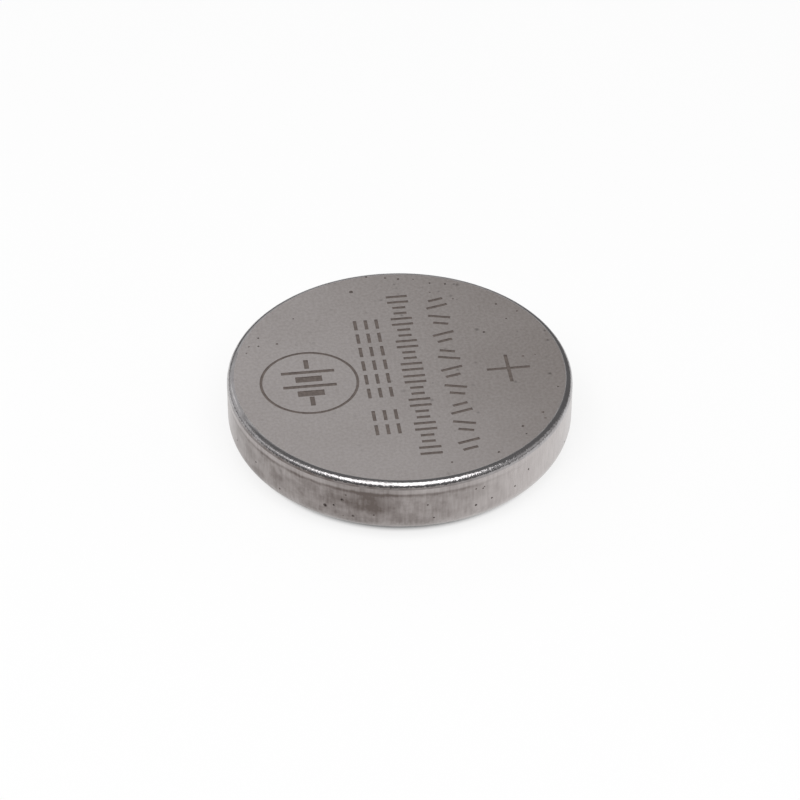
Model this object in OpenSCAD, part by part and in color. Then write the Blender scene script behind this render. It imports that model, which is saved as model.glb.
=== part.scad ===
// Round lithium coin cell: a deep-drawn positive can, crimped over a plastic
// gasket onto a stepped negative cap, with its electrode stack inside.
// Z = 0 is the negative contact face, and the positive contact face is on top.
// Millimetres.

/* [Cell] */
// Outside diameter of the cell
cell_d = 24.5; // [16:0.1:30]
// Height from the negative contact face to the positive contact face
cell_h = 5; // [4.4:0.1:7.7]

/* [Positive can] */
// Thickness of the can's steel sheet
can_t = 0.25; // [0.2:0.01:0.3]
// Outside radius of the corner between the flat face and the wall
can_corner_r = 0.5; // [0.35:0.01:0.8]
// Angle through which the mouth of the can is rolled inwards
crimp_angle = 75; // [60:1:85]
// How far the negative contact face stands out past the crimped edge
contact_proud = 0.5; // [0.1:0.01:0.7]

/* [Negative cap] */
// Thickness of the cap's steel sheet
cap_t = 0.25; // [0.2:0.01:0.3]
// Width of the flat shoulder round the raised contact step
shoulder_w = 0.65; // [0.5:0.01:2]
// Outside radius of the corner round the contact face
step_corner_r = 0.4; // [0.3:0.01:0.5]
// Inside radius where the step meets the shoulder
step_root_r = 0.15; // [0.08:0.01:0.2]
// Outside radius of the bend from the shoulder to the skirt
shoulder_r = 0.9; // [0.35:0.01:1.1]

/* [Gasket] */
// Thickness of the gasket where the can squeezes it against the cap
gasket_t = 0.35; // [0.3:0.01:0.45]
// Thickness of the gasket's foot, under the end of the cap's skirt
foot_t = 0.45; // [0.3:0.01:0.8]
// Thickness of the lip that rises inside the skirt
lip_t = 0.35; // [0.2:0.01:0.45]
// Height of the lip above the foot
lip_h = 0.8; // [0.3:0.05:1.4]
// How far the gasket's free edge runs past the bend, under the shoulder
gasket_run = 0.3; // [0.1:0.01:0.35]

/* [Electrodes] */
// How far the lithium disc stands above the inside of the shoulder
lithium_proud = 0.09; // [0.05:0.01:0.3]
// Thickness of the separator's felt
separator_t = 0.2; // [0.1:0.01:0.3]
// Height of the separator's turned-up rim, from its underside
separator_rim_h = 1.1; // [0.6:0.05:1.3]
// Width of the space between the pellet and the separator's rim
pellet_gap = 0.4; // [0.3:0.05:1.5]
// Bevel on the pellet's two edges
pellet_bevel = 0.15; // [0.05:0.01:0.3]
// Clearance round the lithium disc, inside the contact step's corner
lithium_gap = 0.15; // [0.08:0.01:0.2]

/* [Collector] */
// How far the mesh's edge lies inside the pellet's edge
mesh_margin = 0.8; // [0.3:0.05:3]
// Thickness of the collector mesh
mesh_t = 0.12; // [0.08:0.01:0.2]
// Length of one diamond of the mesh, from knuckle to knuckle
diamond_l = 3.2; // [1.8:0.1:4]
// Width of one diamond of the mesh
diamond_w = 1.8; // [1:0.1:2.4]
// Width of the mesh's strands
strand_w = 0.3; // [0.15:0.01:0.4]
// Width of the plain border left round the mesh
border_w = 0.6; // [0.3:0.05:1.5]

/* [Hidden] */
$fn = 96;

// How far a cutting shape runs past what it cuts
over = 1;

cell_r = cell_d / 2;

// The crimp: cap, gasket and can bend round one centre
crimp_r = shoulder_r + gasket_t + can_t;
crimp_x = cell_r - crimp_r;
crimp_z = contact_proud + crimp_r * sin(crimp_angle);

// The cap: its step, its shoulder and its skirt, outside faces
step_r = crimp_x - shoulder_w;
shoulder_z = crimp_z - shoulder_r;
skirt_r = crimp_x + shoulder_r;

// The gasket: its foot rests on the can's flat face
can_floor_z = cell_h - can_t;
skirt_end_z = can_floor_z - foot_t;
lip_r = skirt_r - cap_t - lip_t;

// The stack, from the cap to the can
lithium_top_z = shoulder_z + cap_t + lithium_proud;
pellet_z = lithium_top_z + separator_t;
mesh_z = can_floor_z - mesh_t;
lithium_r = step_r - step_corner_r - lithium_gap;
// The felt reaches as far as the shoulder is flat
separator_r = crimp_x;
pellet_r = separator_r - separator_t - pellet_gap;
mesh_r = pellet_r - mesh_margin;

// What is left of a corner of size r once its rounding is taken away.
// The corner is at the origin, and its block lies towards -X and +Z.
module spandrel(r) {
    difference() {
        translate([-r, 0]) square(r);
        translate([-r, r]) circle(r);
    }
}

// Half section of a round block of radius r, from z0 to z1, with its
// outer corners rounded: low_r below and high_r above
module block(r, z0, z1, low_r = 0, high_r = 0) {
    difference() {
        translate([0, z0]) square([r, z1 - z0]);
        if (low_r > 0) translate([r, z0]) spandrel(low_r);
        if (high_r > 0) translate([r, z1]) mirror([0, 1]) spandrel(high_r);
    }
}

// Everything inside the can's outer face, moved in by inset
module can_outline(inset) {
    block(cell_r - inset, crimp_z - crimp_r + inset, cell_h - inset,
          crimp_r - inset, can_corner_r - inset);
}

// Everything inside the cap's outer face, moved in by inset, up to top_z
module cap_outline(inset, top_z) {
    root_x = step_r + step_root_r;
    root_z = shoulder_z - step_root_r;
    block(step_r - inset, inset, top_z, step_corner_r - inset);
    block(skirt_r - inset, shoulder_z + inset, top_z, shoulder_r - inset);
    // Fillet between the step and the shoulder
    difference() {
        translate([step_r - inset - step_root_r, root_z])
            square([2 * step_root_r + inset, step_root_r + 2 * inset]);
        translate([root_x, root_z]) circle(step_root_r + inset);
        translate([root_x, 0]) square([cell_r, cell_h]);
    }
}

// The space that the rolled edge leaves open, cut square to the sheet
module mouth() {
    reach = 2 * crimp_r;
    polygon([[crimp_x, crimp_z],
             [crimp_x + reach * cos(crimp_angle), crimp_z - reach * sin(crimp_angle)],
             [-over, crimp_z - reach * sin(crimp_angle)],
             [-over, crimp_z]]);
}

module positive_can() {
    color("darkgray") rotate_extrude() difference() {
        can_outline(0);
        can_outline(can_t);
        mouth();
    }
}

module negative_cap() {
    color("silver") rotate_extrude() difference() {
        cap_outline(0, skirt_end_z);
        cap_outline(cap_t, skirt_end_z + over);
    }
}

// J section: squeezed wall, foot under the skirt, and a lip inside it
module gasket() {
    free_edge_r = crimp_x - gasket_run;
    color("dimgray") rotate_extrude() {
        difference() {
            can_outline(can_t);
            cap_outline(0, skirt_end_z);
            square([free_edge_r, skirt_end_z]);
            square([lip_r, cell_h]);
        }
        translate([lip_r, skirt_end_z - lip_h]) square([lip_t, lip_h]);
    }
}

module lithium_disc() {
    color("gainsboro") translate([0, 0, cap_t])
        cylinder(r = lithium_r, h = lithium_top_z - cap_t);
}

// Shallow felt cup between the electrodes, with its rim round the pellet
module separator() {
    color("white") translate([0, 0, lithium_top_z]) difference() {
        cylinder(r = separator_r, h = separator_rim_h);
        translate([0, 0, separator_t])
            cylinder(r = separator_r - separator_t, h = separator_rim_h);
    }
}

module cathode_pellet() {
    color("#26262a") rotate_extrude()
        polygon([[0, pellet_z], [pellet_r - pellet_bevel, pellet_z],
                 [pellet_r, pellet_z + pellet_bevel],
                 [pellet_r, mesh_z - pellet_bevel],
                 [pellet_r - pellet_bevel, mesh_z], [0, mesh_z]]);
}

// One opening of the expanded mesh, with its strand width taken off
module diamond() {
    x = (diamond_l - strand_w * diamond_l / diamond_w) / 2;
    y = (diamond_w - strand_w) / 2;
    polygon([[x, 0], [0, y], [-x, 0], [0, -y]]);
}

// Disc of expanded steel, spot-welded to the inside of the can
module collector_mesh() {
    columns = ceil(2 * mesh_r / diamond_l);
    rows = ceil(2 * mesh_r / diamond_w);
    clear_r = mesh_r - border_w - diamond_l / 2;
    color("lightgray") translate([0, 0, mesh_z]) linear_extrude(mesh_t) difference() {
        circle(mesh_r);
        for (i = [-columns : columns], j = [-rows : rows]) {
            x = i * diamond_l / 2;
            y = j * diamond_w / 2;
            if ((i + j) % 2 == 0 && norm([x, y]) < clear_r)
                translate([x, y]) diamond();
        }
    }
}

positive_can();
negative_cap();
gasket();
lithium_disc();
separator();
cathode_pellet();
collector_mesh();
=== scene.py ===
import math
import random

import bmesh
import bpy
from mathutils import Matrix, Vector


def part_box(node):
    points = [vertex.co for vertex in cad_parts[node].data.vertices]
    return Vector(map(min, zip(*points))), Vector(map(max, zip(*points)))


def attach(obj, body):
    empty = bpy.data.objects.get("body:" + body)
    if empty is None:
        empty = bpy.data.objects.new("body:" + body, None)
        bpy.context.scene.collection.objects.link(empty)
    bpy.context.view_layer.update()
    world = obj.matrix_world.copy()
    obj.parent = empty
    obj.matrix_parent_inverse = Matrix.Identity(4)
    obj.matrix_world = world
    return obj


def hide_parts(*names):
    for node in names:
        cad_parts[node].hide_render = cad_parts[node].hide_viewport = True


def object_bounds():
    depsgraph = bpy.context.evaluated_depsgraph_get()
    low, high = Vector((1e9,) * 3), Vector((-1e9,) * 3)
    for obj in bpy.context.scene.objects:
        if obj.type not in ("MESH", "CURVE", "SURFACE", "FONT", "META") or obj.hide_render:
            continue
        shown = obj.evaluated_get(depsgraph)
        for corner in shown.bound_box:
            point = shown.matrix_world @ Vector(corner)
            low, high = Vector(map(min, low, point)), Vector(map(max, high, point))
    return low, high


bl_info = {
    "name": "Lithium Coin Cell",
    "version": (1, 0, 0),
    "blender": (4, 5, 0),
    "location": "3D View > Sidebar > Coin Cell",
    "description": "Crimped lithium coin cell with an engraved face, on a pale studio floor",
    "category": "Add Mesh",
}

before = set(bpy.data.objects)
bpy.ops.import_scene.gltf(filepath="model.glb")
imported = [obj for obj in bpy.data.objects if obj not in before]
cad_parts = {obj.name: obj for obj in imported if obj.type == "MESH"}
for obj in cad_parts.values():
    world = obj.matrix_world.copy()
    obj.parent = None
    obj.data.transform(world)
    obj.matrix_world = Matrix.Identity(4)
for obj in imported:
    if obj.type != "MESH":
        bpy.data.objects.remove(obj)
CAD_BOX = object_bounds()

MM = 0.001
# Steps of a full turn: the shells, the gasket, the floor and the engraved ring
SHELL_STEPS = 256
GASKET_STEPS = 192
FLOOR_STEPS = 128
RING_STEPS = 96
# Rings in the mesh of a flat face, as shares of its radius, the last by the bend
FACE_RINGS = (0.35, 0.7, 0.985)
# Points closer than this are one, and shading breaks at edges sharper than this
MERGE_DISTANCE = 1e-4 * MM
SMOOTH_ANGLE = math.radians(32)
QUARTER_TURN = math.pi / 2
# Level directions, in degrees from +X, and the distances along them, in
# millimetres, over which the colour darkens. On the face that darkening is
# painted shade, and the dirt specks gather there too. On the wall the film grows
# thicker that way, partly as its real brown stain and partly as painted shade,
# and on the lower corner the same reach paints a dark reflection. The dark patch
# is a real stain.
FACE_SHADE_AND_DIRT_TOWARDS = 110.0
FACE_SHADE_AND_DIRT_REACH = (-9.0, 12.0)
WALL_FILM_AND_SHADE_TOWARDS = -32.0
WALL_FILM_AND_SHADE_REACH = (2.0, 12.6)
WALL_PATCH_TOWARDS = -22.0
WALL_PATCH_REACH = (11.6, 12.22)
# Heights over which the dark patch sets in, in millimetres
WALL_PATCH_HEIGHTS = (2.1, 2.9)
# Height of the line that the draw left round the wall, its half width and its
# waver, in millimetres
DRAW_LINE_Z = 4.02
DRAW_LINE_HALF = 0.22
DRAW_LINE_WAVER = 0.16
# Share of plain white in what camera and reflections see of the floor, and the
# distances from the axis over which it sets in, in millimetres
FLOOR_WHITE = 0.8
FOOT_SHADE = (10.6, 11.4)
# Share of its colour that the floor keeps in its darker clouds
FLOOR_SHADE = 0.985
CAN_LOW, CAN_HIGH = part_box("positive_can")
CAP_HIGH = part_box("negative_cap")[1]


def length(name, description, millimetres):
    """A size property, given in millimetres."""
    return bpy.props.FloatProperty(
        name=name, description=description, default=millimetres * MM,
        min=0.0, precision=5, subtype="DISTANCE", unit="LENGTH")


def colour(name, description, rgb):
    """A colour property, as linear red, green and blue."""
    return bpy.props.FloatVectorProperty(
        name=name, description=description, default=rgb,
        size=3, min=0.0, max=1.0, subtype="COLOR")


class CellSizes(bpy.types.PropertyGroup):
    """Sizes of the crimped shells, as the solids have them."""

    sheet: length("Sheet", "Thickness of the steel in can and cap", 0.25)
    can_corner: length("Can corner", "Outside radius round the positive face", 0.5)
    crimp: length("Crimp", "Outside radius of the can's rolled edge", 1.5)
    crimp_angle: bpy.props.FloatProperty(
        name="Crimp angle", description="Angle through which the edge is rolled",
        default=math.radians(75), subtype="ANGLE", unit="ROTATION")
    gasket: length("Gasket", "Thickness of the squeezed gasket", 0.35)
    gasket_run: length("Gasket run", "Gasket past the bend, under the shoulder", 0.3)
    foot: length("Foot", "Gasket under the end of the skirt", 0.45)
    lip: length("Lip", "Thickness of the gasket's inner lip", 0.35)
    lip_height: length("Lip height", "Height of the inner lip above the foot", 0.8)
    shoulder_width: length("Shoulder", "Flat shoulder round the contact step", 0.65)
    step_corner: length("Step corner", "Outside radius round the contact face", 0.4)
    step_root: length("Step root", "Inside radius where step meets shoulder", 0.15)


class MarkSizes(bpy.types.PropertyGroup):
    """Sizes of what is engraved in the positive face."""

    depth: length("Depth", "Depth of the engraving", 0.03)
    stroke: length("Stroke", "Width of an engraved stroke", 0.25)
    plus: length("Plus", "Length of each arm of the polarity sign", 3.1)
    ring: length("Ring", "Outside radius of the ring", 3.52)
    ring_stroke: length("Ring stroke", "Width of the ring's stroke", 0.2)


class CellColours(bpy.types.PropertyGroup):
    """Colours of the cell's surfaces and of the floor."""

    steel: colour("Steel", "Clean rolled steel", (0.65, 0.61, 0.60))
    stain: colour("Stain", "Brownish film on the steel", (0.30, 0.26, 0.235))
    # The wall film's colour is dark enough to carry painted shade as well as the real brown
    # film
    wall_film_and_shade: colour("Wall film", "Brown film on the drawn wall", (0.140, 0.117, 0.108))
    corner: colour("Corner", "Burnished corner of the can", (0.46, 0.445, 0.45))
    mark: colour("Mark", "Floor of the engraving", (0.265, 0.225, 0.205))
    dirt: colour("Dirt", "Specks of dirt and rust", (0.045, 0.035, 0.031))
    cap: colour("Cap", "Steel of the negative cap", (0.43, 0.415, 0.40))
    gasket: colour("Gasket", "Moulded plastic of the gasket", (0.022, 0.022, 0.025))
    lithium: colour("Lithium", "Rolled lithium", (0.46, 0.46, 0.48))
    felt: colour("Felt", "Separator felt", (0.78, 0.77, 0.73))
    cathode: colour("Cathode", "Pressed cathode powder", (0.018, 0.018, 0.02))
    mesh: colour("Mesh", "Expanded collector sheet", (0.42, 0.41, 0.40))
    floor: colour("Floor", "Paper under the cell", (0.96, 0.96, 0.96))


class Section:
    """Half section of a turned piece, drawn as one line in the XZ plane."""

    def __init__(self, x, z):
        self.bm = bmesh.new()
        self.pen = self.bm.verts.new((x, 0, z))
        self.start = self.pen

    def run(self, x, z):
        """Straight to x, z."""
        made = bmesh.ops.extrude_vert_indiv(self.bm, verts=[self.pen])
        self.pen = made["verts"][0]
        self.pen.co = (x, 0, z)

    def bend(self, x, z, angle, steps):
        """Round the centre x, z, counter-clockwise for a positive angle."""
        made = bmesh.ops.spin(
            self.bm, geom=[self.pen], cent=(x, 0, z), axis=(0, -1, 0),
            angle=angle, steps=steps, use_merge=False)
        self.pen = next(g for g in made["geom_last"] if isinstance(g, bmesh.types.BMVert))

    def close(self):
        """Back to where the line began, for a ring."""
        self.bm.edges.new((self.pen, self.start))

    def turned(self, steps=SHELL_STEPS):
        """The section spun a full turn about Z, as a closed mesh."""
        bmesh.ops.spin(
            self.bm, geom=self.bm.verts[:] + self.bm.edges[:], cent=(0, 0, 0),
            axis=(0, 0, 1), angle=math.tau, steps=steps, use_merge=True)
        bmesh.ops.remove_doubles(self.bm, verts=self.bm.verts, dist=MERGE_DISTANCE)
        bmesh.ops.dissolve_degenerate(self.bm, edges=self.bm.edges, dist=MERGE_DISTANCE)
        bmesh.ops.recalc_face_normals(self.bm, faces=self.bm.faces)
        return self.bm


def make_piece(name, bm, materials):
    """Links a finished mesh as an object at the origin."""
    mesh = bpy.data.meshes.new(name)
    bm.to_mesh(mesh)
    bm.free()
    piece = bpy.data.objects.new(name, mesh)
    bpy.context.scene.collection.objects.link(piece)
    for made in materials:
        mesh.materials.append(made)
    return piece


def smooth_shade(mesh):
    """Smooth shading that breaks at sharp edges."""
    mesh.shade_smooth()
    mesh.set_sharp_from_angle(angle=SMOOTH_ANGLE)


def level(degrees):
    """Unit vector along a level direction, in degrees from +X."""
    turn = math.radians(degrees)
    return Vector((math.cos(turn), math.sin(turn), 0.0))


def feed(tree, node, inputs):
    """Gives each input of a node its value, or the socket that feeds it."""
    for key, value in inputs.items():
        if isinstance(value, bpy.types.NodeSocket):
            tree.links.new(value, node.inputs[key])
        else:
            node.inputs[key].default_value = value


def add(tree, kind, inputs=None, **settings):
    """Adds a node. Each input takes a value, or the socket that feeds it."""
    node = tree.nodes.new(kind)
    for key, value in settings.items():
        setattr(node, key, value)
    feed(tree, node, inputs or {})
    return node


def math_node(tree, operation, *values, clamp=False):
    """Output of a Math node on the values."""
    node = add(tree, "ShaderNodeMath", dict(enumerate(values)), operation=operation)
    node.use_clamp = clamp
    return node.outputs[0]


def scaled(tree, mask, share):
    """The mask times a share, or times another mask."""
    return math_node(tree, "MULTIPLY", mask, share)


def raised(tree, mask, share, base, clamp=False):
    """The base, raised by the mask times a share."""
    return math_node(tree, "MULTIPLY_ADD", mask, share, base, clamp=clamp)


def mix_colour(tree, factor, first, second):
    """Output of a colour mix from first to second."""
    def opaque(value):
        return value if isinstance(value, bpy.types.NodeSocket) else (*value, 1.0)

    node = add(tree, "ShaderNodeMix", data_type="RGBA")
    for key, value in (("Factor", factor), ("A", opaque(first)), ("B", opaque(second))):
        kind = "VALUE" if key == "Factor" else "RGBA"
        socket = next(s for s in node.inputs if s.name == key and s.type == kind)
        if isinstance(value, bpy.types.NodeSocket):
            tree.links.new(value, socket)
        else:
            socket.default_value = value
    return next(s for s in node.outputs if s.type == "RGBA")


def new_group(name, inputs, outputs):
    """A shader node group with named sockets, and its input and output nodes."""
    tree = bpy.data.node_groups.new(name, "ShaderNodeTree")
    for label, kind, default in inputs:
        socket = tree.interface.new_socket(label, in_out="INPUT", socket_type=kind)
        socket.default_value = default
    for label, kind in outputs:
        tree.interface.new_socket(label, in_out="OUTPUT", socket_type=kind)
    return tree, add(tree, "NodeGroupInput"), add(tree, "NodeGroupOutput")


def use_group(tree, name, inputs):
    """Places a node group in a material with its own values."""
    return add(tree, "ShaderNodeGroup", inputs, node_tree=bpy.data.node_groups[name])


def build_cloud_group():
    """Soft blotches: noise cut between two levels."""
    tree, given, result = new_group("Cloud", [
        ("Vector", "NodeSocketVector", (0, 0, 0)),
        ("Scale", "NodeSocketFloat", 500.0),
        ("Detail", "NodeSocketFloat", 4.0),
        ("Low", "NodeSocketFloat", 0.4),
        ("High", "NodeSocketFloat", 0.6),
    ], [("Mask", "NodeSocketFloat")])
    field = add(tree, "ShaderNodeTexNoise", {
        "Vector": given.outputs["Vector"], "Scale": given.outputs["Scale"],
        "Detail": given.outputs["Detail"], "Roughness": 0.6})
    cut = add(tree, "ShaderNodeMapRange", {
        "Value": field.outputs["Fac"], "From Min": given.outputs["Low"],
        "From Max": given.outputs["High"]}, interpolation_type="SMOOTHSTEP")
    tree.links.new(cut.outputs["Result"], result.inputs["Mask"])


def build_specks_group():
    """Scattered dots of dirt, each in its own cell, some cells left empty."""
    tree, given, result = new_group("Specks", [
        ("Vector", "NodeSocketVector", (0, 0, 0)),
        ("Scale", "NodeSocketFloat", 600.0),
        ("Size", "NodeSocketFloat", 0.1),
        ("Share", "NodeSocketFloat", 0.2),
    ], [("Mask", "NodeSocketFloat")])
    cells = add(tree, "ShaderNodeTexVoronoi", {
        "Vector": given.outputs["Vector"], "Scale": given.outputs["Scale"]})
    chance = add(tree, "ShaderNodeSeparateColor", {"Color": cells.outputs["Color"]})
    size = scaled(tree, given.outputs["Size"], chance.outputs["Green"])
    dot = add(tree, "ShaderNodeMapRange", {
        "Value": cells.outputs["Distance"], "From Min": size, "From Max": 0.0,
        "To Min": 0.0, "To Max": 1.0}, interpolation_type="SMOOTHSTEP")
    kept = math_node(tree, "LESS_THAN", chance.outputs["Red"], given.outputs["Share"])
    tree.links.new(scaled(tree, dot.outputs["Result"], kept), result.inputs["Mask"])


def build_band_group():
    """A level band round the wall, at a height and a half width, with a ragged edge."""
    tree, given, result = new_group("Band", [
        ("Vector", "NodeSocketVector", (0, 0, 0)),
        ("Height", "NodeSocketFloat", 0.0036),
        ("Half width", "NodeSocketFloat", 0.0001),
        ("Waver", "NodeSocketFloat", 0.0001),
        ("Scale", "NodeSocketFloat", 900.0),
    ], [("Mask", "NodeSocketFloat")])
    place = add(tree, "ShaderNodeSeparateXYZ", {"Vector": given.outputs["Vector"]})
    ragged = add(tree, "ShaderNodeTexNoise", {
        "Vector": given.outputs["Vector"], "Scale": given.outputs["Scale"], "Detail": 3.0})
    swing = raised(tree, ragged.outputs["Fac"], 2.0, -1.0)
    shift = scaled(tree, swing, given.outputs["Waver"])
    wavy = math_node(tree, "ADD", place.outputs["Z"], shift)
    gap = math_node(tree, "SUBTRACT", wavy, given.outputs["Height"])
    off = math_node(tree, "ABSOLUTE", gap)
    band = add(tree, "ShaderNodeMapRange", {
        "Value": off, "From Min": given.outputs["Half width"], "From Max": 0.0,
        "To Min": 0.0, "To Max": 1.0}, interpolation_type="SMOOTHSTEP")
    tree.links.new(band.outputs["Result"], result.inputs["Mask"])


def build_groups():
    """Builds each shared effect once."""
    build_cloud_group()
    build_specks_group()
    build_band_group()


def start_material(name):
    """A material with its Principled shader and the piece's own coordinates."""
    made = bpy.data.materials.new(name)
    made.use_nodes = True
    tree = made.node_tree
    shader = tree.nodes["Principled BSDF"]
    here = add(tree, "ShaderNodeTexCoord").outputs["Object"]
    return made, tree, shader, here


def stretched(tree, here, scale):
    """The coordinates scaled by x, y and z."""
    return add(tree, "ShaderNodeMapping", {"Vector": here, "Scale": scale}).outputs["Vector"]


def cloud(tree, vector, scale, low, high, detail=4.0):
    """Mask of soft blotches, cut between a low and a high level of noise."""
    return use_group(tree, "Cloud", {
        "Vector": vector, "Scale": scale, "Low": low, "High": high,
        "Detail": detail}).outputs["Mask"]


def specks(tree, vector, scale, size, share):
    """Mask of scattered dots, of a size, in a share of the pattern's cells."""
    return use_group(tree, "Specks", {
        "Vector": vector, "Scale": scale, "Size": size, "Share": share}).outputs["Mask"]


def grain(tree, vector, scale, detail=2.0):
    """Fine noise."""
    return add(tree, "ShaderNodeTexNoise", {
        "Vector": vector, "Scale": scale, "Detail": detail}).outputs["Fac"]


def bump(tree, relief, strength, depth):
    """Normal from a relief that varies over the surface, with a depth in mm."""
    return add(tree, "ShaderNodeBump", {
        "Height": relief, "Strength": strength, "Distance": depth * MM}).outputs["Normal"]


def height(tree, here):
    """Height above the negative contact face."""
    return add(tree, "ShaderNodeSeparateXYZ", {"Vector": here}).outputs["Z"]


def rise(tree, value, start, end):
    """Rises smoothly from 0 to 1 as the value goes from start to end, in mm."""
    return add(tree, "ShaderNodeMapRange", {
        "Value": value, "From Min": start * MM, "From Max": end * MM},
        interpolation_type="SMOOTHSTEP").outputs["Result"]


def along(tree, here, degrees, start, end):
    """Rises from 0 to 1 along a level direction, between two distances in mm."""
    reach = add(tree, "ShaderNodeVectorMath", {
        0: here, 1: level(degrees)}, operation="DOT_PRODUCT")
    return rise(tree, reach.outputs["Value"], start, end)


def face_steel(c):
    """Flat face: matt rolled steel, with a faint film, painted shade darkening it to one
    side, and fine dirt to that side.
    """
    made, tree, shader, here = start_material("can_face_steel")
    side = along(tree, here, FACE_SHADE_AND_DIRT_TOWARDS, *FACE_SHADE_AND_DIRT_REACH)
    cloudy = cloud(tree, here, scale=130.0, low=0.35, high=0.7)
    fine = cloud(tree, here, scale=4200.0, low=0.3, high=0.7, detail=3.0)
    # Painted shade: the face darkens towards one side; the cloudy blotches are its real film
    film = raised(tree, side, 0.38, scaled(tree, cloudy, 0.1))
    amount = raised(tree, fine, 0.24, film, clamp=True)
    base = mix_colour(tree, amount, c.steel, c.stain)
    dirt = specks(tree, here, scale=1600.0, size=0.42, share=0.3)
    shown = scaled(tree, dirt, raised(tree, side, 0.5, 0.1))
    base = mix_colour(tree, shown, base, c.dirt)
    feed(tree, shader, {
        "Base Color": base,
        "Metallic": 1.0,
        "Roughness": raised(tree, fine, 0.08, 0.48),
        "Normal": bump(tree, grain(tree, here, scale=9000.0), strength=0.25, depth=0.02),
    })
    return made


def corner_steel(c):
    """Burnished corner: smooth at the face, and peeled by the draw towards the wall, with a
    painted dark reflection low on it towards the front.
    """
    made, tree, shader, here = start_material("can_corner_steel")
    top = CAN_HIGH.z / MM
    z = height(tree, here)
    peeled = rise(tree, z, top - 0.02, top - 0.16)
    drawn = grain(tree, stretched(tree, here, (1.0, 1.0, 0.4)), scale=7000.0)
    peel = scaled(tree, drawn, peeled)
    smear = cloud(tree, here, scale=900.0, low=0.35, high=0.7)
    # Painted reflection: the lower corner is darkened in the wall's film colour towards the
    # front, standing in for the dark band reflected below the highlight
    lower_corner_shade = rise(tree, z, top - 0.2, top - 0.36)
    film = scaled(tree, lower_corner_shade, along(tree, here, WALL_FILM_AND_SHADE_TOWARDS, *WALL_FILM_AND_SHADE_REACH))
    amount = raised(tree, film, 0.75, scaled(tree, smear, 0.25), clamp=True)
    feed(tree, shader, {
        "Base Color": mix_colour(tree, amount, c.corner, c.wall_film_and_shade),
        "Metallic": 1.0,
        "Roughness": raised(tree, smear, 0.14, 0.11),
        "Normal": bump(tree, peel, strength=0.9, depth=0.04),
    })
    return made


def wall_steel(c):
    """Drawn wall: upright grain, a blotched brown film on one side, thickened there as
    painted shade, and the draw line.
    """
    made, tree, shader, here = start_material("can_wall_steel")
    z = height(tree, here)
    streaks = grain(
        tree, stretched(tree, here, (1.0, 1.0, 0.14)), scale=5200.0, detail=3.0)
    front_film_and_shade = along(tree, here, WALL_FILM_AND_SHADE_TOWARDS, *WALL_FILM_AND_SHADE_REACH)
    blotch = cloud(tree, stretched(tree, here, (1.0, 1.0, 1.5)),
                   scale=700.0, low=0.38, high=0.66, detail=5.0)
    patch = cloud(tree, here, scale=210.0, low=0.38, high=0.66, detail=2.0)
    below = rise(tree, z, DRAW_LINE_Z + 0.2, DRAW_LINE_Z)
    line = use_group(tree, "Band", {
        "Vector": here, "Height": DRAW_LINE_Z * MM, "Half width": DRAW_LINE_HALF * MM,
        "Waver": DRAW_LINE_WAVER * MM, "Scale": 1500.0}).outputs["Mask"]
    # The film is mottled, thinner above the draw line and thickest on it
    mottled = raised(tree, blotch, 0.26, raised(tree, patch, 0.22, 0.46))
    film = scaled(tree, mottled, raised(tree, below, 0.35, 0.65))
    # Towards the front the film thickens: partly its real brown stain, partly painted shade
    film = scaled(tree, raised(tree, line, 0.28, film), front_film_and_shade)
    # The dark patch lies over it
    scorched = scaled(
        tree, rise(tree, z, *WALL_PATCH_HEIGHTS),
        along(tree, here, WALL_PATCH_TOWARDS, *WALL_PATCH_REACH))
    film = raised(tree, scorched, raised(tree, patch, 0.14, 0.2), film)
    film = scaled(tree, film, 0.66)
    streaked = raised(tree, streaks, 0.36, 0.11)
    amount = math_node(tree, "ADD", film, streaked, clamp=True)
    base = mix_colour(tree, amount, c.steel, c.wall_film_and_shade)
    dirt = specks(tree, here, scale=640.0, size=0.20, share=0.20)
    feed(tree, shader, {
        "Base Color": mix_colour(tree, scaled(tree, dirt, 0.6), base, c.dirt),
        "Metallic": 1.0,
        "Roughness": raised(tree, film, 0.16, 0.26),
        "Normal": bump(tree, streaks, strength=0.22, depth=0.02),
    })
    return made


def engraved_steel(c):
    """Floor of the engraving: dull and brown."""
    made, tree, shader, here = start_material("engraved_mark")
    burnt = cloud(tree, here, scale=3200.0, low=0.3, high=0.7)
    pitted = grain(tree, here, scale=9000.0)
    feed(tree, shader, {
        "Base Color": mix_colour(tree, scaled(tree, burnt, 0.35), c.mark, c.dirt),
        "Metallic": 0.85,
        "Roughness": 0.6,
        "Normal": bump(tree, pitted, strength=0.4, depth=0.02),
    })
    return made


def dirt_finish(c):
    """Specks of dirt and rust in small pits."""
    made, tree, shader, here = start_material("dirt_speck")
    rust = cloud(tree, here, scale=5200.0, low=0.35, high=0.65)
    feed(tree, shader, {
        "Base Color": mix_colour(tree, scaled(tree, rust, 0.5), c.dirt, c.mark),
        "Metallic": 0.0,
        "Roughness": 0.85,
    })
    return made


def cap_steel(c):
    """Negative cap: satin steel with short brush lines and light handling marks."""
    made, tree, shader, here = start_material("cap_steel")
    brushed = grain(
        tree, stretched(tree, here, (0.05, 1.0, 1.0)), scale=7000.0, detail=4.0)
    film = cloud(tree, here, scale=190.0, low=0.4, high=0.7)
    amount = raised(tree, film, 0.35, scaled(tree, brushed, 0.25), clamp=True)
    base = mix_colour(tree, amount, c.cap, c.stain)
    dirt = specks(tree, here, scale=500.0, size=0.15, share=0.12)
    feed(tree, shader, {
        "Base Color": mix_colour(tree, scaled(tree, dirt, 0.5), base, c.dirt),
        "Metallic": 1.0,
        "Roughness": raised(tree, brushed, 0.16, 0.24),
        "Normal": bump(tree, brushed, strength=0.3, depth=0.02),
    })
    return made


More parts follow.
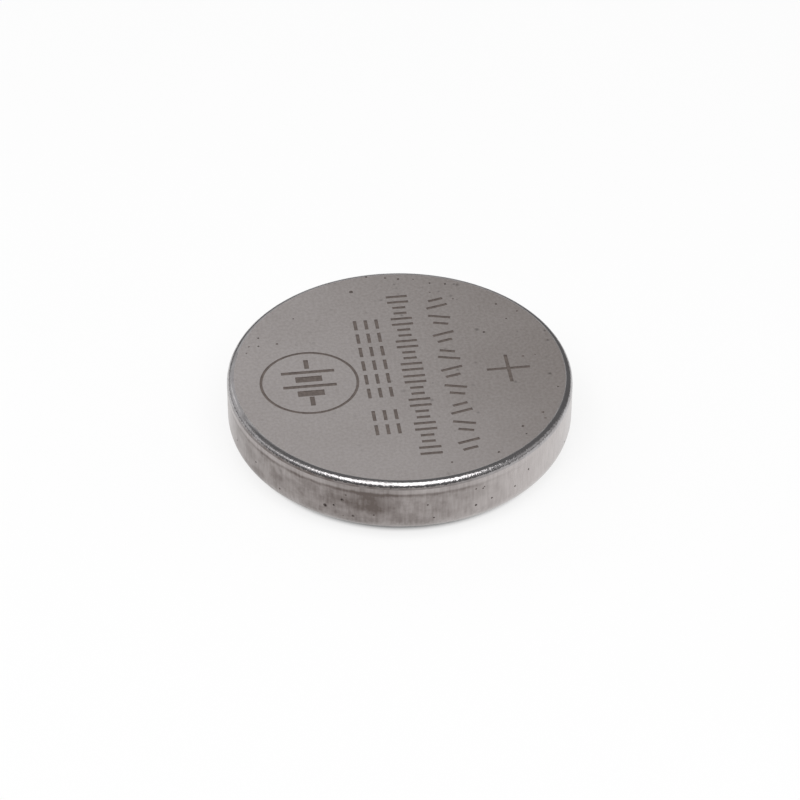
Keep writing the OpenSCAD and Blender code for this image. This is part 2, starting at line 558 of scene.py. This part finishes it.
def gasket_plastic(c):
    """Moulded gasket: dark plastic with a fine moulded grain."""
    made, tree, shader, here = start_material("gasket_plastic")
    moulded = grain(tree, here, scale=6000.0, detail=3.0)
    dust = cloud(tree, here, scale=900.0, low=0.5, high=0.8)
    feed(tree, shader, {
        "Base Color": mix_colour(tree, scaled(tree, dust, 0.12), c.gasket, c.felt),
        "Metallic": 0.0,
        "Roughness": raised(tree, moulded, 0.2, 0.38),
        "Normal": bump(tree, moulded, strength=0.2, depth=0.02),
    })
    return made


def lithium_metal(c):
    """Rolled lithium: soft grey metal with a dull bloom."""
    made, tree, shader, here = start_material("lithium_metal")
    bloom = cloud(tree, here, scale=320.0, low=0.35, high=0.7)
    rolled = grain(
        tree, stretched(tree, here, (1.0, 0.04, 1.0)), scale=3000.0, detail=3.0)
    feed(tree, shader, {
        "Base Color": mix_colour(tree, scaled(tree, bloom, 0.5), c.lithium, c.stain),
        "Metallic": 0.9,
        "Roughness": raised(tree, bloom, 0.25, 0.4),
        "Normal": bump(tree, rolled, strength=0.3, depth=0.03),
    })
    return made


def felt_finish(c):
    """Separator felt: matted fibres."""
    made, tree, shader, here = start_material("separator_felt")
    fibre = add(tree, "ShaderNodeTexNoise", {
        "Vector": here, "Scale": 4000.0, "Detail": 5.0, "Distortion": 2.0}).outputs["Fac"]
    feed(tree, shader, {
        "Base Color": mix_colour(tree, scaled(tree, fibre, 0.25), c.felt, c.stain),
        "Roughness": 0.95,
        "Normal": bump(tree, fibre, strength=0.6, depth=0.04),
    })
    return made


def cathode_finish(c):
    """Cathode pellet: pressed black powder with a graphite sheen."""
    made, tree, shader, here = start_material("cathode_mix")
    powder = grain(tree, here, scale=7000.0, detail=4.0)
    glint = specks(tree, here, scale=5000.0, size=0.3, share=0.15)
    feed(tree, shader, {
        "Base Color": mix_colour(tree, scaled(tree, glint, 0.6), c.cathode, c.lithium),
        "Roughness": 0.7,
        "Normal": bump(tree, powder, strength=0.6, depth=0.03),
    })
    return made


def mesh_steel(c):
    """Expanded collector: bright sheared steel."""
    made, tree, shader, here = start_material("collector_steel")
    sheared = grain(tree, here, scale=5000.0, detail=3.0)
    feed(tree, shader, {
        "Base Color": mix_colour(tree, scaled(tree, sheared, 0.3), c.mesh, c.stain),
        "Metallic": 1.0,
        "Roughness": raised(tree, sheared, 0.2, 0.25),
        "Normal": bump(tree, sheared, strength=0.3, depth=0.02),
    })
    return made


def floor_paper(c):
    """Pale paper floor, seen through from below, so that the underside shows."""
    made, tree, shader, here = start_material("floor_paper")
    tone = cloud(tree, here, scale=40.0, low=0.2, high=0.8)
    shade = tuple(FLOOR_SHADE * v for v in c.floor)
    feed(tree, shader, {
        "Base Color": mix_colour(tree, tone, c.floor, shade),
        "Roughness": 0.9,
        "Specular IOR Level": 0.0,
    })
    white = add(tree, "ShaderNodeEmission", {"Strength": 1.0})
    ray = add(tree, "ShaderNodeLightPath").outputs
    bounced = math_node(tree, "ADD", ray["Is Glossy Ray"], ray["Is Transmission Ray"])
    seen = math_node(tree, "ADD", ray["Is Camera Ray"], bounced, clamp=True)
    reach = add(tree, "ShaderNodeVectorMath", {0: here}, operation="LENGTH")
    clear_of_foot = rise(tree, reach.outputs["Value"], *FOOT_SHADE)
    share = scaled(tree, seen, scaled(tree, clear_of_foot, FLOOR_WHITE))
    lit = add(tree, "ShaderNodeMixShader", {
        0: share, 1: shader.outputs["BSDF"], 2: white.outputs["Emission"]})
    clear = add(tree, "ShaderNodeBsdfTransparent")
    behind = add(tree, "ShaderNodeNewGeometry").outputs["Backfacing"]
    pick = add(tree, "ShaderNodeMixShader", {
        0: behind, 1: lit.outputs["Shader"], 2: clear.outputs["BSDF"]})
    tree.links.new(pick.outputs["Shader"], tree.nodes["Material Output"].inputs["Surface"])
    return made


def crimp_centre(s):
    """Centre round which cap, gasket and can are bent, as x and z of the section."""
    return CAN_HIGH.x - s.crimp, CAN_LOW.z + s.crimp * math.sin(s.crimp_angle)


def can_section(s):
    """Half section of the can: flat face, corner, wall and rolled edge."""
    radius = CAN_HIGH.x
    top = CAN_HIGH.z
    inner = radius - s.sheet
    crimp_x, crimp_z = crimp_centre(s)
    corner_x = radius - s.can_corner
    corner_z = top - s.can_corner
    towards_mouth = Vector((math.cos(s.crimp_angle), -math.sin(s.crimp_angle)))
    rolled = towards_mouth * (s.crimp - s.sheet)
    line = Section(0, top)
    for share in FACE_RINGS:
        line.run(corner_x * share, top)
    line.run(corner_x, top)
    line.bend(corner_x, corner_z, -QUARTER_TURN, steps=14)
    line.run(radius, crimp_z)
    line.bend(crimp_x, crimp_z, -s.crimp_angle, steps=16)
    line.run(crimp_x + rolled.x, crimp_z + rolled.y)
    line.bend(crimp_x, crimp_z, s.crimp_angle, steps=12)
    line.run(inner, corner_z)
    line.bend(corner_x, corner_z, QUARTER_TURN, steps=5)
    line.run(0, top - s.sheet)
    return line


def mark_cutter(bm, centre, size, turn=0.0):
    """A bar to cut, of a length and a width, at a place on the face."""
    place = (Matrix.Translation(centre) @ Matrix.Rotation(turn, 4, "Z")
             @ Matrix.Diagonal((*size, 1.0)))
    bmesh.ops.create_cube(bm, size=1.0, matrix=place)


def ring_cutter(outer, width, half_height):
    """A flat ring to cut, spun from its rectangular section."""
    line = Section(outer, -half_height)
    line.run(outer, half_height)
    line.run(outer - width, half_height)
    line.run(outer - width, -half_height)
    line.close()
    return line.turned(RING_STEPS)


class Engraver:
    """Collects the strokes that are cut into the positive face."""

    def __init__(self, m):
        self.bm = bmesh.new()
        self.m = m
        self.top = CAN_HIGH.z

    def bar(self, x, y, long, wide, turn=0.0):
        """A straight stroke, in millimetres and degrees."""
        mark_cutter(self.bm, (x * MM, y * MM, self.top),
                    (long * MM, wide * MM, 2 * self.m.depth), math.radians(turn))

    def tick(self, x, y, high, lean=0.0):
        """An upright stroke."""
        self.bar(x, y, high, self.m.stroke / MM, 90 + lean)

    def ring(self, x, y):
        """The ring round the cell symbol."""
        ring = ring_cutter(self.m.ring, self.m.ring_stroke, self.m.depth)
        bmesh.ops.translate(ring, verts=ring.verts, vec=(x * MM, y * MM, self.top))
        mesh = bpy.data.meshes.new("ring")
        ring.to_mesh(mesh)
        ring.free()
        self.bm.from_mesh(mesh)
        bpy.data.meshes.remove(mesh)


# Places of the marks on the face, in millimetres from its middle
PLUS_PLACE = (0.4, 7.73)
RING_PLACE = (0.23, -6.47)
UPPER_ROW_Y = 3.72
MIDDLE_ROW_Y = 0.97
LOWER_ROW_Y = -1.66


def engrave_plus(e):
    """The polarity sign."""
    arm = e.m.plus / MM
    stroke = e.m.stroke / MM
    e.bar(*PLUS_PLACE, arm, stroke)
    e.bar(*PLUS_PLACE, arm, stroke, 90)


def engrave_upper_row(e):
    """Pairs of leaning ticks, long and short by turns."""
    pairs, first_x, pitch, half_gap = 9, -7.85, 2.04, 0.4
    long, short, slant = 1.6, 1.1, 14
    for i in range(pairs):
        x = first_x + pitch * i
        lean = -slant if i % 2 else slant
        e.tick(x - half_gap, UPPER_ROW_Y, long if i % 3 else short, lean)
        e.tick(x + half_gap, UPPER_ROW_Y, short if i % 3 else long, lean)


def engrave_middle_row(e):
    """Close upright ticks in two groups, two long and two short by turns."""
    ticks, pitch, long, short = 14, 0.665, 1.55, 0.95
    for first_x in (-8.98, 0.42):
        for i in range(ticks):
            e.tick(first_x + pitch * i, MIDDLE_ROW_Y, long if i % 4 < 2 else short)


def engrave_lower_row(e):
    """Stacks of three short level bars, in a group of six and one of two."""
    stacks, first_group, group_gap = 8, 6, 0.95
    first_x, pitch, bar_gap, long = -5.9, 1.58, 0.78, 1.1
    for i in range(stacks):
        x = first_x + pitch * i + (0.0 if i < first_group else group_gap)
        for y in (-bar_gap, 0.0, bar_gap):
            e.bar(x, LOWER_ROW_Y + y, long, e.m.stroke / MM)


def engrave_cell_symbol(e):
    """The circuit symbol of a battery in its ring: long and short plates."""
    x, y = RING_PLACE
    long_plate, short_plate = (0.3, 3.8), (0.62, 1.9)
    first_x, pitch, lead_x, lead = -1.2, 0.8, 2.1, (1.0, 0.34)
    e.ring(x, y)
    for i, plate in enumerate((long_plate, short_plate, long_plate, short_plate)):
        e.bar(x + first_x + pitch * i, y, *plate)
    for side in (-1, 1):
        e.bar(x + side * lead_x, y, *lead)


# The camera, fitted to the photograph: its azimuth, its height above the horizon,
# its distance, lens, roll and sensor, and the shift of its frame
AZIMUTH = math.radians(82.0)
ELEVATION = math.radians(38.70)
DISTANCE = 236 * MM
LENS_MM = 148.97
ROLL = math.radians(0.34)
SENSOR_MM = 36.0
SHIFT = (0.0004, 0.0011)
# Width and height of the photograph, in pixels
PHOTO_SIZE = 800


def away(azimuth, elevation, distance):
    """A place round the cell, by its azimuth, elevation and distance."""
    return Vector((
        math.sin(azimuth) * math.cos(elevation),
        -math.cos(azimuth) * math.cos(elevation),
        math.sin(elevation))) * distance


def turned_back(out):
    """The turn with which a camera or lamp out there looks back at the cell."""
    return (-out).to_track_quat("-Z", "Y").to_matrix().to_4x4()


def camera_place():
    """Where the camera stands, and how it is turned."""
    middle = (CAD_BOX[0] + CAD_BOX[1]) / 2
    out = away(AZIMUTH, ELEVATION, DISTANCE)
    return (Matrix.Translation(middle + out) @ turned_back(out)
            @ Matrix.Rotation(ROLL, 4, "Z"))


def line_of_sight(x, y):
    """Start and direction of the line of sight through a pixel of the photograph."""
    place = camera_place()
    across = (x / PHOTO_SIZE - 0.5 + SHIFT[0]) * SENSOR_MM
    up = (0.5 - y / PHOTO_SIZE + SHIFT[1]) * SENSOR_MM
    aim = place.to_3x3() @ Vector((across, up, -LENS_MM))
    return place.to_translation(), aim.normalized()


def seen_on_face(x, y):
    """Place on the flat face that a pixel of the photograph shows."""
    start, aim = line_of_sight(x, y)
    return start + aim * ((CAN_HIGH.z - start.z) / aim.z)


def seen_on_wall(x, y):
    """Place on the wall that a pixel of the photograph shows: the nearer crossing."""
    start, aim = line_of_sight(x, y)
    across = aim.xy.length_squared
    towards = start.xy.dot(aim.xy)
    apart = start.xy.length_squared - CAN_HIGH.x ** 2
    reach = (-towards - math.sqrt(towards ** 2 - across * apart)) / across
    return start + aim * reach


# The specks that show most: x and y in the photograph's pixels,
# and the radius of the pit in millimetres
FACE_SPECKS = {
    "back_left_large": (351, 292, 0.20),
    "back_edge_left": (366, 277, 0.12),
    "back_edge_middle": (385, 278, 0.12),
    "back_edge_right": (398, 279, 0.13),
    "back_right": (445, 284, 0.12),
    "right_back": (496, 304, 0.12),
    "right_back_edge": (517, 311, 0.12),
    "right_back_inner": (484, 332, 0.13),
    "right": (523, 356, 0.13),
    "right_front_edge": (543, 412, 0.14),
    "right_front": (523, 426, 0.14),
    "front_right": (499, 452, 0.13),
    "left": (277, 344, 0.13),
}
WALL_SPECKS = {
    "left_large": (325, 505, 0.19),
    "left_upper": (342, 500, 0.17),
    "left_low": (343, 516, 0.12),
    "front_low": (353, 516, 0.14),
    "right": (476, 505, 0.12),
}
# The small specks are scattered: how many there are, their arc on the face in
# degrees from +X, and in millimetres their distances from the axis there, their
# heights on the wall and their radii
SPECK_SEED = 5
SMALL_ON_FACE = 15
SMALL_ON_WALL = 24
SMALL_ARC = (5.0, 255.0)
SMALL_REACH = (9.6, 11.4)
SMALL_HEIGHTS = (1.8, 3.7)
SMALL_RADII = (0.08, 0.11)
# Share of its radius by which the middle of a pit's ball stands out of the steel
PIT_PROUD = 0.6


def add_ball(bm, place, outward, radius):
    """A small ball that cuts a pit at a place on the steel."""
    centre = place + outward * (radius * PIT_PROUD)
    bmesh.ops.create_icosphere(
        bm, subdivisions=2, radius=radius, matrix=Matrix.Translation(centre))


def pit_cutters():
    """Balls that cut the pits where specks of dirt sit."""
    bm = bmesh.new()
    up = Vector((0.0, 0.0, 1.0))
    for x, y, radius in FACE_SPECKS.values():
        add_ball(bm, seen_on_face(x, y), up, radius * MM)
    for x, y, radius in WALL_SPECKS.values():
        place = seen_on_wall(x, y)
        add_ball(bm, place, place.xy.normalized().to_3d(), radius * MM)
    draw = random.Random(SPECK_SEED)
    for _ in range(SMALL_ON_FACE):
        out = level(draw.uniform(*SMALL_ARC))
        place = out * (draw.uniform(*SMALL_REACH) * MM) + up * CAN_HIGH.z
        add_ball(bm, place, up, draw.uniform(*SMALL_RADII) * MM)
    for _ in range(SMALL_ON_WALL):
        out = level(draw.uniform(0.0, 360.0))
        place = out * CAN_HIGH.x + up * (draw.uniform(*SMALL_HEIGHTS) * MM)
        add_ball(bm, place, out, draw.uniform(*SMALL_RADII) * MM)
    return bm


def cut(piece, cutter_name, bm, finish):
    """Cuts the closed shapes in bm out of the piece, in the given finish."""
    cutter = make_piece(cutter_name, bm, [finish])
    modifier = piece.modifiers.new(cutter_name, "BOOLEAN")
    modifier.operation = "DIFFERENCE"
    modifier.solver = "EXACT"
    modifier.use_self = True
    modifier.material_mode = "TRANSFER"
    modifier.object = cutter
    view = bpy.context.evaluated_depsgraph_get()
    result = bpy.data.meshes.new_from_object(piece.evaluated_get(view))
    piece.modifiers.clear()
    old = piece.data
    piece.data = result
    result.name = piece.name
    bpy.data.meshes.remove(old)
    bpy.data.objects.remove(cutter)


FACE_ZONE, CORNER_ZONE, WALL_ZONE = range(3)
# The flat face's zone reaches this far down from the top
FACE_DEPTH = 0.005 * MM


def paint_zones(bm, s):
    """Sets each face of the can to the finish of its zone."""
    top = CAN_HIGH.z - FACE_DEPTH
    corner = CAN_HIGH.z - s.can_corner
    flat_edge = CAN_HIGH.x - s.can_corner
    for face in bm.faces:
        middle = face.calc_center_median()
        if middle.z > top and middle.xy.length < flat_edge:
            face.material_index = FACE_ZONE
        elif middle.z > corner and middle.xy.length > flat_edge:
            face.material_index = CORNER_ZONE
        else:
            face.material_index = WALL_ZONE


class COINCELL_OT_positive_can(bpy.types.Operator):
    """Makes the positive can, with its engraved face and its specks of dirt"""

    bl_idname = "coincell.positive_can"
    bl_label = "Positive Can"
    bl_options = {"REGISTER", "UNDO"}

    def execute(self, context):
        s = context.scene.coincell_sizes
        c = context.scene.coincell_colours
        bm = can_section(s).turned()
        paint_zones(bm, s)
        can = make_piece("can_shell", bm, [face_steel(c), corner_steel(c), wall_steel(c)])
        marks = Engraver(context.scene.coincell_marks)
        engrave_plus(marks)
        engrave_upper_row(marks)
        engrave_middle_row(marks)
        engrave_lower_row(marks)
        engrave_cell_symbol(marks)
        cut(can, "marks", marks.bm, engraved_steel(c))
        cut(can, "pits", pit_cutters(), dirt_finish(c))
        smooth_shade(can.data)
        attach(can, "root")
        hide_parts("positive_can")
        return {"FINISHED"}


def cap_section(s):
    """Half section of the cap: contact face, step, shoulder and skirt."""
    skirt = CAP_HIGH.x
    top = CAP_HIGH.z
    crimp_x, crimp_z = crimp_centre(s)
    shoulder_z = crimp_z - (skirt - crimp_x)
    step = crimp_x - s.shoulder_width
    root_x = step + s.step_root
    root_z = shoulder_z - s.step_root
    corner_x = step - s.step_corner
    line = Section(0, 0)
    line.run(corner_x * FACE_RINGS[-1], 0)
    line.run(corner_x, 0)
    line.bend(corner_x, s.step_corner, QUARTER_TURN, steps=10)
    line.run(step, root_z)
    line.bend(root_x, root_z, -QUARTER_TURN, steps=6)
    line.run(crimp_x, shoulder_z)
    line.bend(crimp_x, crimp_z, QUARTER_TURN, steps=10)
    line.run(skirt, top)
    line.run(skirt - s.sheet, top)
    line.run(skirt - s.sheet, crimp_z)
    line.bend(crimp_x, crimp_z, -QUARTER_TURN, steps=6)
    line.run(root_x, shoulder_z + s.sheet)
    line.bend(root_x, root_z, QUARTER_TURN, steps=6)
    line.run(step - s.sheet, s.step_corner)
    line.bend(corner_x, s.step_corner, -QUARTER_TURN, steps=5)
    line.run(0, s.sheet)
    return line


class COINCELL_OT_negative_cap(bpy.types.Operator):
    """Makes the stepped negative cap"""

    bl_idname = "coincell.negative_cap"
    bl_label = "Negative Cap"
    bl_options = {"REGISTER", "UNDO"}

    def execute(self, context):
        s = context.scene.coincell_sizes
        bm = cap_section(s).turned()
        cap = make_piece("cap_shell", bm, [cap_steel(context.scene.coincell_colours)])
        smooth_shade(cap.data)
        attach(cap, "root")
        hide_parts("negative_cap")
        return {"FINISHED"}


def gasket_section(s):
    """Closed section of the gasket: squeezed wall, foot and inner lip."""
    outer = CAN_HIGH.x - s.sheet
    floor = CAN_HIGH.z - s.sheet
    skirt = outer - s.gasket
    skirt_end = floor - s.foot
    crimp_x, crimp_z = crimp_centre(s)
    outer_bend = outer - crimp_x
    inner_bend = skirt - crimp_x
    free_edge = crimp_x - s.gasket_run
    corner = s.can_corner - s.sheet
    lip = skirt - s.sheet - s.lip
    line = Section(free_edge, crimp_z - outer_bend)
    line.run(crimp_x, crimp_z - outer_bend)
    line.bend(crimp_x, crimp_z, QUARTER_TURN, steps=10)
    line.run(outer, floor - corner)
    line.bend(outer - corner, floor - corner, QUARTER_TURN, steps=5)
    line.run(lip, floor)
    line.run(lip, skirt_end - s.lip_height)
    line.run(lip + s.lip, skirt_end - s.lip_height)
    line.run(lip + s.lip, skirt_end)
    line.run(skirt, skirt_end)
    line.run(skirt, crimp_z)
    line.bend(crimp_x, crimp_z, -QUARTER_TURN, steps=8)
    line.run(free_edge, crimp_z - inner_bend)
    line.close()
    return line


class COINCELL_OT_gasket(bpy.types.Operator):
    """Makes the gasket that the can squeezes against the cap"""

    bl_idname = "coincell.gasket"
    bl_label = "Gasket"
    bl_options = {"REGISTER", "UNDO"}

    def execute(self, context):
        bm = gasket_section(context.scene.coincell_sizes).turned(GASKET_STEPS)
        gasket = make_piece(
            "gasket_ring", bm, [gasket_plastic(context.scene.coincell_colours)])
        smooth_shade(gasket.data)
        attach(gasket, "root")
        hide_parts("gasket")
        return {"FINISHED"}


class COINCELL_OT_electrode_stack(bpy.types.Operator):
    """Finishes the sealed stack: lithium, separator, cathode pellet and collector"""

    bl_idname = "coincell.electrode_stack"
    bl_label = "Electrode Stack"
    bl_options = {"REGISTER", "UNDO"}

    def execute(self, context):
        c = context.scene.coincell_colours
        finishes = {
            "lithium_disc": lithium_metal,
            "separator": felt_finish,
            "cathode_pellet": cathode_finish,
            "collector_mesh": mesh_steel,
        }
        for node, finish in finishes.items():
            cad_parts[node].material_slots[0].material = finish(c)
        return {"FINISHED"}


# The floor lies just under the contact face, and its radius is in metres
FLOOR_Z = -0.01 * MM
FLOOR_RADIUS = 2.0
# Width of the floor's hole, as a share of the contact face
HOLE_SHARE = 0.98
# Nearest and farthest distance that the camera sees
CLIP = (0.01, 10.0)
# The lamps: azimuth from the camera and elevation in degrees, distance, width
# and height in metres, and brightness
LAMPS = {
    "overhead": (6, 66, 0.5, (0.55, 0.48), 2.7),
    "high_left": (-68, 50, 0.5, (0.32, 0.30), 1.1),
    "low_left": (-112, 27, 0.6, (0.66, 0.34), 0.5),
    "low_right": (90, 26, 0.6, (0.48, 0.36), 0.45),
    "back": (-166, 34, 0.6, (0.46, 0.30), 0.48),
    "below": (180, -60, 0.5, (0.5, 0.4), 0.9),
}
# Colour of the world, which has a strength of 1
SKY = (0.20, 0.20, 0.202)


def add_camera():
    """The camera at the photograph's viewing angle."""
    data = bpy.data.cameras.new("camera")
    data.lens = LENS_MM
    data.sensor_width = SENSOR_MM
    data.shift_x, data.shift_y = SHIFT
    data.clip_start, data.clip_end = CLIP
    camera = bpy.data.objects.new("camera", data)
    camera.matrix_world = camera_place()
    bpy.context.scene.collection.objects.link(camera)
    bpy.context.scene.camera = camera


def add_softbox(name, azimuth, elevation, distance, size, radiance):
    """A rectangular lamp that faces the cell, of a given brightness."""
    data = bpy.data.lights.new(name, "AREA")
    data.shape = "RECTANGLE"
    data.size, data.size_y = size
    data.energy = radiance * math.pi * size[0] * size[1]
    lamp = bpy.data.objects.new(name, data)
    out = away(AZIMUTH + math.radians(azimuth), math.radians(elevation), distance)
    lamp.matrix_world = Matrix.Translation(out) @ turned_back(out)
    bpy.context.scene.collection.objects.link(lamp)


def add_floor(c, hole):
    """The pale floor. Its hole, hidden by the contact face, lights that face from below."""
    line = Section(hole, FLOOR_Z)
    line.run(FLOOR_RADIUS, FLOOR_Z)
    bm = line.turned(FLOOR_STEPS)
    if bm.faces[:][0].normal.z < 0:
        bmesh.ops.reverse_faces(bm, faces=bm.faces)
    floor = make_piece("floor", bm, [floor_paper(c)])


class COINCELL_OT_studio(bpy.types.Operator):
    """Makes the floor, the lamps, the sky and the camera"""

    bl_idname = "coincell.studio"
    bl_label = "Studio"
    bl_options = {"REGISTER", "UNDO"}

    def execute(self, context):
        scene = context.scene
        scene.view_settings.view_transform = "Standard"
        add_camera()
        s = scene.coincell_sizes
        contact = CAN_HIGH.x - s.crimp - s.shoulder_width - s.step_corner
        add_floor(scene.coincell_colours, contact * HOLE_SHARE)
        for name, lamp in LAMPS.items():
            add_softbox(name, *lamp)
        world = bpy.data.worlds.new("studio")
        world.use_nodes = True
        sky = world.node_tree.nodes["Background"]
        sky.inputs["Color"].default_value = (*SKY, 1.0)
        sky.inputs["Strength"].default_value = 1.0
        scene.world = world
        return {"FINISHED"}


class COINCELL_PT_panel(bpy.types.Panel):
    """Lists the cell's pieces, sizes and colours in the sidebar"""

    bl_label = "Lithium Coin Cell"
    bl_idname = "COINCELL_PT_panel"
    bl_space_type = "VIEW_3D"
    bl_region_type = "UI"
    bl_category = "Coin Cell"

    def draw(self, context):
        column = self.layout.column(align=True)
        for operator in OPERATORS:
            column.operator(operator.bl_idname)
        for group in SETTINGS:
            values = getattr(context.scene, group)
            box = self.layout.box()
            for name in values.__annotations__:
                box.prop(values, name)


# Where the scene holds each group of sizes and colours
SETTINGS = {
    "coincell_sizes": CellSizes,
    "coincell_marks": MarkSizes,
    "coincell_colours": CellColours,
}
OPERATORS = (
    COINCELL_OT_positive_can,
    COINCELL_OT_negative_cap,
    COINCELL_OT_gasket,
    COINCELL_OT_electrode_stack,
    COINCELL_OT_studio,
)
CLASSES = (*SETTINGS.values(), *OPERATORS, COINCELL_PT_panel)


def register():
    """Registers the classes, and gives the scene its sizes and colours."""
    for cls in CLASSES:
        bpy.utils.register_class(cls)
    for name, group in SETTINGS.items():
        setattr(bpy.types.Scene, name, bpy.props.PointerProperty(type=group))


def unregister():
    """Takes back what register() did, in the opposite order."""
    for name in reversed(SETTINGS):
        delattr(bpy.types.Scene, name)
    for cls in reversed(CLASSES):
        bpy.utils.unregister_class(cls)


def main():
    """Builds the cell and its studio."""
    register()
    build_groups()
    bpy.ops.coincell.positive_can()
    bpy.ops.coincell.negative_cap()
    bpy.ops.coincell.gasket()
    bpy.ops.coincell.electrode_stack()
    bpy.ops.coincell.studio()


if __name__ == "__main__":
    main()
